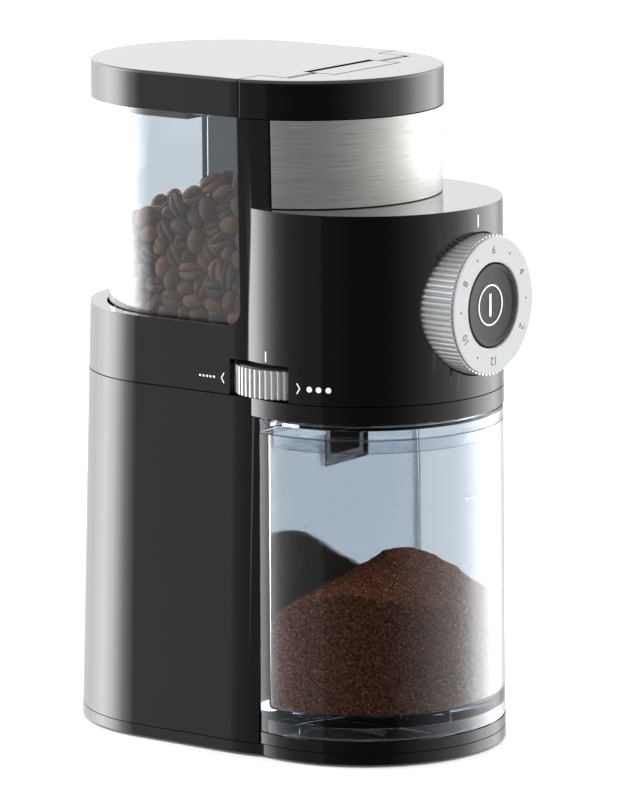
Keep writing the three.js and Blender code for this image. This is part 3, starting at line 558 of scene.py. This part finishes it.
# %% Front cap and hinge cover
PIN_Y, PIN_Z, KNUCKLE, TOP = -15.8, 247.1, 2.9, 250.0
def lid_block(z0, z1, inset=0.0, crown=0.0):
    bm = stadium(z0, z1, LID_R - inset, LID_R - inset, 0, LID_REAR, 192)
    if crown:
        top = [e for e in bm.edges if all(abs(v.co.z - z1) < 0.01 for v in e.verts)]
        bmesh.ops.bevel(bm, geom=top, offset=crown, offset_type="OFFSET", segments=5, profile=0.5,
                        affect="EDGES", clamp_overlap=True, material=-1)
    return bm

cap = cut(piece(lid_block(LID_Z, TOP, crown=1.3), "front_cap_cover"), behind(-5.3))
cut(cap, cut(piece(lid_block(LID_Z - 1, TOP - WALL, 2.2), "hollow"), behind(-7.5)))
join(cap, block(-38.8, 38.8, -20.5, -5.3, 241.5, TOP - 1.5),
     block(-21.7, 21.7, -28.4, -19, 241.5, TOP - 1.5), block(-19.7, 19.7, -20, -12.9, 241.5, 243.9))
cut(cap, block(-37.5, 37.5, -19.2, 5, 243.9, 300), block(-20.4, 20.4, -27.1, -10, 243.9, 300))
complete(cap, GLOSS_BLACK, "housing", ["front_cap"], 0.2, 2)

cover = piece(block(-19.7, 19.7, -26.4, PIN_Y, PIN_Z - 2.8, TOP), "hinge_cover_strip")
nose = keep(piece(rod((0, PIN_Y, PIN_Z), KNUCKLE, 39.4, CROSSWAYS), "nose"),
            block(-30, 30, -40, 0, PIN_Z - 2.8, TOP))
join(cover, nose)
cut(cover, rod((0, PIN_Y, PIN_Z), 1.3, 60, CROSSWAYS, 24))
complete(cover, GLOSS_BLACK, "housing", ["hinge_cover"], 0.2, 2)

# %% Hopper lid and its plug
lid = cut(piece(lid_block(LID_Z, TOP, crown=1.3), "hopper_lid_cover"), ahead_of(-4.8))
cut(lid, cut(piece(lid_block(LID_Z - 1, TOP - WALL, 2.2), "hollow"), ahead_of(-2.4)))
join(lid, block(-36.8, 36.8, -12.4, -3, PIN_Z - KNUCKLE, TOP))
for side in (-1, 1):
    a, b = sorted((side * 20.5, side * 36.8))
    join(lid, block(a, b, PIN_Y, -12, PIN_Z - KNUCKLE, TOP),
         rod(((a + b) / 2, PIN_Y, PIN_Z), KNUCKLE, b - a, CROSSWAYS))
cut(lid, rod((0, PIN_Y, PIN_Z), 1.08, 73.6, CROSSWAYS, 24))
complete(lid, GLOSS_BLACK, "lid", ["hopper_lid"], 0.2, 2)
plug = cut(piece(stadium(232.4, 247, 43, 43, 0, POT_REAR), "lid_plug_rim"),
           stadium(232, 248, 41.5, 41.5, 0, POT_REAR))
cut(plug, ahead_of(23))
front_rib = block(-42.9, 42.9, 23, 24.5, 232.4, 247)
join(plug, front_rib)
complete(plug, MATT_BLACK, "lid", ["lid_plug"], 0.3)

# %% [markdown]
# ## Hopper
# A clear pot that widens upwards. It wraps the column behind the dial, so its plan has a deep
# notch, and the throat in its floor leads down to the burrs.

# %% Hopper
POT_FOOT, POT_TOP, SKIN = 153.6, LID_Z - 0.4, 1.8
POT_FLOOR, POT_FRONT = POT_FOOT + 2.8, WINDOW + 0.3
def notch(grow):
    return block(-COLUMN_X - grow, COLUMN_X + grow, -20, COLUMN_Y + grow, 100, 300)
pot = cut(piece(hopper_block(POT_FOOT, POT_TOP), "clear_hopper"), ahead_of(POT_FRONT), notch(0.3))
cut(pot, cut(piece(hopper_block(POT_FLOOR, POT_TOP + 2, SKIN), "space"),
             ahead_of(POT_FRONT + SKIN), notch(0.3 + SKIN)))
join(pot, rod((0, motor_y, 150.5), 15, 11.2))
cut(pot, rod((0, motor_y, 151), 12.6, 16))
complete(pot, CLEAR, "housing", ["hopper"], 0.4)

# %% [markdown]
# ## Container
# The container is the drum's lower half in clear plastic, flat at the back. Its own lid stays on
# while it is in place. Both have a notch at the back for the chute.

# %% Container and its lid
CUP_BACK, CUP_FOOT, CUP_TOP, CUP_WALL = BAY - 0.5, 8.9, 120.4, 2.8
cup = cut(piece(drum(CUP_FOOT, CUP_TOP, 0.2), "clear_container"), behind(CUP_BACK))
def cup_space(z0, z1, wall):
    return cut(piece(drum(z0, z1, 0.2 + wall), "inside"), behind(CUP_BACK - wall))
def rounded(made, r):
    """Rounds the upright back corners of a cutter, and its floor edge, before it is used."""
    bm = bmesh.new()
    bm.from_mesh(made.data)
    bmesh.ops.remove_doubles(bm, verts=bm.verts, dist=0.004)
    foot = min(v.co.z for v in bm.verts)
    def wanted(e):
        if len(e.link_faces) != 2 or e.calc_face_angle(0) < EDGE_ANGLE:
            return False
        a, b = (v.co.z for v in e.verts)
        return abs(a - b) > 1 or max(a, b) < foot + 0.5
    bmesh.ops.bevel(bm, geom=[e for e in bm.edges if wanted(e)], offset=r, offset_type="OFFSET",
                    segments=6, profile=0.5, affect="EDGES", clamp_overlap=True, material=-1)
    bm.to_mesh(made.data)
    bm.free()
    return made
CUP_CORNER = 4.5
cut(cup, rounded(cup_space(17.3, CUP_TOP + 1, CUP_WALL), CUP_CORNER))
cut(cup, cup_space(CUP_FOOT - 1, 13.2, CUP_WALL))
for x in (-30, 0, 30):
    join(cup, block(x - 0.8, x + 0.8, -55, CUP_BACK - 1, CUP_FOOT, 14))
cut(cup, block(-13.5, 13.5, CUP_BACK - 5, CUP_BACK + 5, 102.5, CUP_TOP + 5))
complete(cup, CLEAR, "grounds_container", ["container"], 0.4)

cup_lid = cut(piece(drum(CUP_TOP + 0.3, HEAD - 0.6, 0.2), "clear_container_lid"), behind(CUP_BACK))
skirt = cut(piece(drum(115.4, CUP_TOP + 1, CUP_WALL + 0.6), "skirt"), behind(CUP_BACK - CUP_WALL - 0.4))
join(cup_lid, skirt)
cut(cup_lid,
    cut(piece(drum(115, HEAD - 2.6, CUP_WALL + 2.4), "space"), behind(CUP_BACK - CUP_WALL - 2.2)),
    block(-13.5, 13.5, CUP_BACK - 6, CUP_BACK + 5, 100, 200))
complete(cup_lid, CLEAR, "grounds_container", ["container_lid"], 0.3)

# %% [markdown]
# ## Controls
# Dial, start button and thumbwheel are turned shapes. Ribs are made by letting the radius swing in
# and out round the rim, as the mould's fluted cavity does.

# %% Ribbed rims
def fluted(z0, z1, r, depth, count, per=6):
    """A disc whose radius swings by depth, count times round."""
    bm = stadium(z0, z1, r, r, steps=count * per)
    for v in bm.verts:
        swing = 0.5 + 0.5 * math.cos(math.atan2(v.co.y, v.co.x) * count)
        v.co.xy *= 1 - depth * swing ** 3 / r
    return bm

# the dial's parts are drawn lying on their backs, then stood up facing forwards
DIAL_FACE_Y = -83.2
def facing(y):
    return Matrix.Translation((0, y, DIAL_Z)) @ FORWARDS
knob = piece(fluted(0, 15.6, 25.85, 1.0, 72, 8), "timer_knob")
rim = turned([(0, 15.2), (24.85, 15.2), (24.8, 15.8), (24.6, 16.0), (0, 16.0)], steps=144)
join(knob, rim)
cut(knob, rod((0, 0, 13), 15.9, 8, steps=96), rod((0, 0, 2.5), 23, 7, steps=96))
join(knob, rod((0, 0, -1), 8.5, 16))
cut(knob, rod((0, 0, 0), 5.2, 40))
knob.data.transform(facing(-66.6))
complete(knob, SILVER_PAINT, "dial", ["dial_knob"], 0.12, 2)
face = turned([(16.1, 0), (25.1, 0), (25.15, 0.2), (24.8, 0.5), (16.3, 0.5), (16.1, 0.3), (16.1, 0)],
              facing(DIAL_FACE_Y + 0.54), 144)
complete(piece(face, "dial_face_ring"), FACE_PAINT, "dial", ["dial_face"])

# %% Start button
BUTTON_BACK = -53.9
DISHED = [(0, 0), (4.8, 0), (4.8, 25), (15.3, 25), (15.3, 28.3), (15.1, 28.8), (14.7, 29.0),
          (14.2, 28.9), (13.4, 28.2), (11, 27.85), (7, 27.6), (3, 27.5), (0, 27.45)]
button = piece(turned(DISHED, facing(BUTTON_BACK), 128), "start_button_cap")
complete(button, BUTTON_GREY, "button", ["start_button"])

# %% Thumbwheel
WHEEL = (-30, -14.5)
wheel = piece(fluted(133.6, 144.1, 22.0, 1.0, 56, 8), "grind_wheel")
cut(wheel, rod((0, 0, 140), 2.58, 30))
wheel.data.transform(Matrix.Translation((*WHEEL, 0)))
complete(wheel, SILVER_PAINT, "wheel", ["thumbwheel"], 0.15, 2)
disc = cut(piece(rod((*WHEEL, 144.45), 20.8, 0.7, steps=96), "grind_wheel_disc"),
           rod((*WHEEL, 144), 2.6, 9))
complete(disc, MATT_BLACK, "wheel", (), 0.15, 2)

# %% [markdown]
# ## Printing
# Numbers of the timer scale are pad-printed: a film of ink, here 0.06 mm thick so that it stays
# clear of the surface. Text is turned into a mesh before it is placed. Only plain numbers, a start
# sign, arrows and dots of growing size for the fineness are drawn.

# %% Ink
INK = 0.06
def ink_text(word, size_mm):
    curve = bpy.data.curves.new("word", "FONT")
    curve.body, curve.size, curve.align_x, curve.align_y = word, size_mm, "CENTER", "CENTER"
    curve.extrude, curve.resolution_u = INK / 2, 3
    source = bpy.data.objects.new("word", curve)
    bpy.context.scene.collection.objects.link(source)
    bpy.context.view_layer.update()
    seen = source.evaluated_get(bpy.context.evaluated_depsgraph_get())
    mesh = bpy.data.meshes.new_from_object(seen)
    bpy.data.objects.remove(source)
    bm = bmesh.new()
    bm.from_mesh(mesh)
    bmesh.ops.remove_doubles(bm, verts=bm.verts, dist=1e-4)
    bpy.data.meshes.remove(mesh)
    return bm

def gather(parts, name, finish, body_name):
    """Joins several small blocks, each with its own place, into one printed piece."""
    whole = bmesh.new()
    for bm, where in parts:
        bmesh.ops.transform(bm, matrix=where, verts=bm.verts)
        bmesh.ops.recalc_face_normals(bm, faces=bm.faces)
        mesh = bpy.data.meshes.new("part")
        bm.to_mesh(mesh)
        bm.free()
        whole.from_mesh(mesh)
        bpy.data.meshes.remove(mesh)
    mesh = bpy.data.meshes.new(name)
    whole.to_mesh(mesh)
    whole.free()
    made = bpy.data.objects.new(name, mesh)
    bpy.context.scene.collection.objects.link(made)
    mesh.transform(TO_FRAME)
    mesh.materials.append(finish)
    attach(made, body_name)
    print(name, len(mesh.polygons), "faces")
    return made

# %% Timer scale: numbers every 60 degrees, dots between them
def on_dial(clock, radius):
    """Place on the dial's face: clock is the angle clockwise from the top, seen from the front."""
    a = math.radians(clock)
    return (facing(DIAL_FACE_Y + INK / 2) @ Matrix.Rotation(-a, 4, "Z") @
            Matrix.Translation((0, radius, 0)))
scale = [(ink_text(word, 4.4), on_dial(i * 60, 20.4))
         for i, word in enumerate(("6", "4", "2", "12", "10", "8"))]
scale += [(rod((0, 0, 0), 0.45, INK, steps=16), on_dial(clock, 20.6))
          for clock in (30, 90, 210, 270, 330)]
gather(scale, "dial_scale_print", GREY_PRINT, "dial")

# %% Start sign: a ring round an upright bar
sign_at = facing(BUTTON_BACK - 27.7)
sign = [(turned([(7.05, 0), (7.6, 0), (7.6, 0.2), (7.05, 0.2), (7.05, 0)], steps=64), sign_at),
        (block(-0.6, 0.6, -4.2, 4.2, -0.15, 0.1), sign_at)]
gather(sign, "start_sign_print", WHITE_PRINT, "button")

# %% Marks on the housing
MARKS_Z, LIFT = 139, 0.02
def on_drum(y, z):
    """Place on the drum's left side at a depth y, facing outwards, upright."""
    r = drum_r(z) + LIFT
    x = -r * math.cos(math.asin((y - DRUM_Y) / r))
    turn = math.atan2(y - DRUM_Y, x)
    return Matrix.Translation((x, y, z)) @ Matrix.Rotation(turn + math.pi / 2, 4, "Z") @ FORWARDS
def on_body(y, z):
    return (Matrix.Translation((-body_r(z) - LIFT, y, z)) @ Matrix.Rotation(-math.pi / 2, 4, "Z") @
            FORWARDS)
def arrow(point):
    """An open arrow head 1.6 mm wide, pointing along +X or -X."""
    bm = bmesh.new()
    for up in (-1, 1):
        bmesh.ops.create_cube(bm, size=1, matrix=Matrix.Translation((0, up * 0.95, 0)) @
                              Matrix.Rotation(-up * point * math.radians(58), 4, "Z") @
                              Matrix.LocRotScale(None, None, (2.3, 0.42, INK)))
    return bm
def dots(size, gap, count):
    bm = bmesh.new()
    for i in range(count):
        bmesh.ops.create_cone(bm, cap_ends=True, segments=20, radius1=size, radius2=size, depth=INK,
                              matrix=Matrix.Translation(((i - (count - 1) / 2) * gap, 0, 0)))
    return bm
def bar(width, height):
    return block(-width / 2, width / 2, -height / 2, height / 2, -INK / 2, INK / 2)
marks = [(arrow(-1), on_body(3.6, MARKS_Z)), (dots(0.45, 1.6, 5), on_body(10.8, MARKS_Z)),
         (arrow(1), on_drum(-32.2, MARKS_Z)), (bar(0.6, 3.8), on_drum(-17.4, 149.2)),
         (bar(0.7, 4.6), Matrix.Translation((0, DRUM_Y - 51.16, 197.8)) @ FORWARDS)]
marks += [(rod((0, 0, 0), 1.05, INK, steps=24), on_drum(y, MARKS_Z)) for y in (-36.6, -40.1, -43.6)]
gather(marks, "housing_marks_print", WHITE_PRINT, "housing")

# %% Fill mark on the container's front
def on_front(x, z, r=51.42):
    return (Matrix.Translation((x, DRUM_Y - math.sqrt(r * r - x * x), z)) @
            Matrix.Rotation(math.asin(x / r), 4, "Z") @ FORWARDS)
level = [(bar(2, 0.3), on_front(x, 96)) for x in (-7, -4, -1, 2, 5)]
gather(level, "fill_mark_print", WHITE_PRINT, "grounds_container")

# %% [markdown]
# ## Coffee beans
# The beans are poured, not placed: each is a capsule of three balls, pushed apart where the balls
# meet, pulled down a little and kept inside the hopper, over and over, from a seeded random start.
# Beans next to a wall end up lying flat against it. One bean of a few dozen faces is then set out
# 590 times.

# %% Hopper space
# number of beans, radius of a ball, and how far the outer balls sit from the middle one
BEANS, BALL, REACH = 590, 3.0, 2.1
def push_inside(p, clear):
    """Moves points into the hopper's space, at least clear away from its walls."""
    p[:, 2] = np.maximum(p[:, 2], POT_FLOOR + clear)
    p[:, 1] = np.maximum(p[:, 1], POT_FRONT + SKIN + clear)
    beside, past = COLUMN_X + 0.3 + SKIN + clear, COLUMN_Y + 0.3 + SKIN + clear
    inward = np.minimum(beside - np.abs(p[:, 0]), past - p[:, 1])
    sideways = (inward > 0) & (beside - np.abs(p[:, 0]) < past - p[:, 1])
    back_out = (inward > 0) & ~sideways
    p[sideways, 0] = np.copysign(beside, p[sideways, 0])
    p[back_out, 1] = past
    spine = np.clip(p[:, 1], 0, POT_REAR)
    off = np.stack([p[:, 0], p[:, 1] - spine], 1)
    far, room_r = np.linalg.norm(off, axis=1), hopper_r(p[:, 2]) - SKIN - clear
    out = far > room_r
    off[out] *= (room_r[out] / far[out])[:, None]
    p[:, 0], p[:, 1] = off[:, 0], off[:, 1] + spine
    return p

# %% Pouring
FALL, PUSH, ROUNDS, PAIRS_EVERY = 0.06, 0.4, 220, 12
luck = np.random.default_rng(11)
centres = luck.uniform((-42, -1, 158), (42, 80, 200), (BEANS, 3))
axes = luck.normal(size=(BEANS, 3)) * (1, 1, 0.6)
axes /= np.linalg.norm(axes, axis=1)[:, None]
owner = np.tile(np.arange(BEANS), 3)
for step in range(ROUNDS):
    balls = np.concatenate([centres - REACH * axes, centres, centres + REACH * axes])
    if step % PAIRS_EVERY == 0:
        spread = balls.astype(np.float32)
        square = (spread ** 2).sum(1)
        gap = square[:, None] + square[None] - 2 * spread @ spread.T
        i, j = np.nonzero((gap < (2 * BALL + 3) ** 2) & (owner[:, None] < owner[None]))
    apart = balls[i] - balls[j]
    far = np.linalg.norm(apart, axis=1) + 1e-6
    push = apart * (np.clip(2 * BALL - far, 0, None) * PUSH / far)[:, None]
    np.add.at(balls, i, push)
    np.add.at(balls, j, -push)
    balls[:, 2] -= FALL
    balls = push_inside(balls, BALL)
    low, middle, high = np.split(balls, 3)
    centres, axes = (low + middle + high) / 3, high - low + 1e-6
    axes /= np.linalg.norm(axes, axis=1)[:, None]
print("beans reach", round(float(np.percentile(centres[:, 2], 98)) + BALL, 1), "mm:", len(centres))

# %% One bean: round back, flat face with a crease
bm = bmesh.new()
bmesh.ops.create_uvsphere(bm, u_segments=12, v_segments=7, radius=1)
bmesh.ops.rotate(bm, verts=bm.verts, matrix=Matrix.Rotation(math.pi / 2, 3, "Y"))
angle = lambda v: round(math.degrees(math.atan2(v.co.z, v.co.y)))
ends = [v for v in bm.verts if abs(v.co.x) > 0.99]
rings = [v for v in bm.verts if abs(v.co.x) <= 0.99]
crease = [v for v in rings if angle(v) == -90]
lips = [v for v in rings if angle(v) in (-60, -120)]
face = [v for v in rings if angle(v) in (-30, -150)]
bmesh.ops.scale(bm, vec=(1, 1, 0.3), verts=crease)
bmesh.ops.scale(bm, vec=(1, 0.34, 1.08), verts=lips)
bmesh.ops.scale(bm, vec=(1, 1, 1.5), verts=face)
bmesh.ops.scale(bm, vec=(5.3, 3.7, 2.9), verts=bm.verts)
# marks the crease vertices, where shade is painted into the bean's colour
crease_shade_mask = np.array([v in crease for v in bm.verts], np.float32)
bean = bpy.data.meshes.new("bean")
bm.to_mesh(bean)
bm.free()
bean.shade_smooth()

# %% The heap of beans
heap = bmesh.new()
for centre, axis in zip(centres, axes):
    centre, axis = Vector(centre), Vector(axis)
    out = centre - Vector((0, min(max(centre.y, 0), POT_REAR), centre.z))
    wall = hopper_r(centre.z) - SKIN - out.length
    thin = out.normalized() if wall < 5 else Vector(luck.normal(size=3))
    if centre.y < 4 and wall >= 5:
        thin = Vector((1, 0, 0))
    thin = (thin - axis * thin.dot(axis)).normalized() * (1 if luck.random() < 0.5 else -1)
    size = luck.uniform(0.9, 1.06)
    turn = Matrix((axis, thin.cross(axis), thin)).transposed().to_4x4()
    copy = bean.copy()
    copy.transform(Matrix.Translation(centre) @ turn @ Matrix.Scale(size, 4))
    heap.from_mesh(copy)
    bpy.data.meshes.remove(copy)
beans = piece(heap, "coffee_beans")
points = np.empty(len(beans.data.vertices) * 3)
beans.data.vertices.foreach_get("co", points)
points = push_inside(points.reshape(-1, 3), 0.12)
beans.data.vertices.foreach_set("co", points.ravel())
shade = beans.data.attributes.new("roast", "FLOAT", "POINT")
shade.data.foreach_set("value", np.repeat(luck.random(BEANS), len(bean.vertices)).astype(np.float32))
# painted shade along each bean's crease, read by the bean's colour
crease_shade = beans.data.attributes.new("crease_shade", "FLOAT", "POINT")
crease_shade.data.foreach_set("value", np.tile(crease_shade_mask, BEANS))
beans.data.transform(TO_FRAME)
beans.data.materials.append(BEAN)
beans.data.shade_smooth()
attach(beans, "housing")
print("beans:", len(beans.data.polygons), "faces")

# %% [markdown]
# ## Ground coffee
# Grounds fall from the chute and pile into a mound that leans against the walls, steeper towards
# the front and the right than towards the left. Its surface is a grid moved by three sizes of
# noise, and the block below it is cut to the inside of the container.

# %% Mound
PEAK = Vector((0, -43, 73))
def mound(x, y):
    across = (x - PEAK.x) * (0.32 if x < PEAK.x else 0.66)
    along = (y - PEAK.y) * (0.8 if y > PEAK.y else 0.74)
    fall = math.hypot(across, along, 5) - 5
    lumps = 1.7 * noise.noise((x / 13, y / 13, 2)) + 0.8 * noise.noise((x / 4.2, y / 4.2, 7))
    return PEAK.z - fall + lumps + 0.55 * noise.noise((x / 1.3, y / 1.3, 4))
bm = bmesh.new()
bmesh.ops.create_grid(bm, x_segments=130, y_segments=84, size=0.5,
                      matrix=Matrix.LocRotScale(Vector((0, -46.5, 0)), None, (104, 66, 1)))
surface = bm.verts[:]
under = bmesh.ops.extrude_face_region(bm, geom=bm.faces[:])["geom"]
for v in surface:
    v.co.z = mound(v.co.x, v.co.y)
FLOOR_OF_CUP = 17.45
bmesh.ops.translate(bm, vec=(0, 0, FLOOR_OF_CUP),
                    verts=[v for v in under if isinstance(v, bmesh.types.BMVert)])
grounds = piece(bm, "ground_coffee_mound")
keep(grounds, rounded(cup_space(17.4, CUP_TOP, CUP_WALL + 0.12), CUP_CORNER))
complete(grounds, GROUNDS, "grounds_container")
grounds.data.shade_smooth()

# %% [markdown]
# ## Parts kept from the CAD model
# Inner parts, screws and feet have their true shape in the frame already, so only their finish is
# given here, by the record's own material slots.

# %% Finishes for the frame's parts
BY_SLOT = {"gloss_black": GLOSS_BLACK, "matt_black": MATT_BLACK, "silver_plastic": SILVER_PAINT,
           "dial_white": FACE_PAINT, "button_grey": BUTTON_GREY, "steel": BRUSHED_STEEL, "clear": CLEAR,
           "rubber": RUBBER, "zinc": ZINC, "burr_steel": TOOL_STEEL, "core": LAMINATIONS,
           "copper": COPPER, "nylon": NYLON, "board": SOLDER_MASK}
slot_of = {part["node"]: part["material_slot"] for part in frame["record"]["subparts"]}
for name, node in frame["nodes"].items():
    for slot in node.material_slots:
        slot.material = BY_SLOT[slot_of[name]]
print("finishes given to", len(frame["nodes"]), "frame parts")

# %% Floor
floor_mesh = bmesh.new()
bmesh.ops.create_grid(floor_mesh, x_segments=1, y_segments=1, size=2)
floor = piece(floor_mesh, "floor")
PAPER, tree, shader, place = finish_of("white_paper", "#ffffff", 0.9)
mottle(tree, shader, grain(tree, place, 60), [(0.3, "#fbfbfb"), (0.7, "#ffffff")])
floor.data.materials.append(PAPER)
floor.visible_glossy = floor.visible_transmission = False
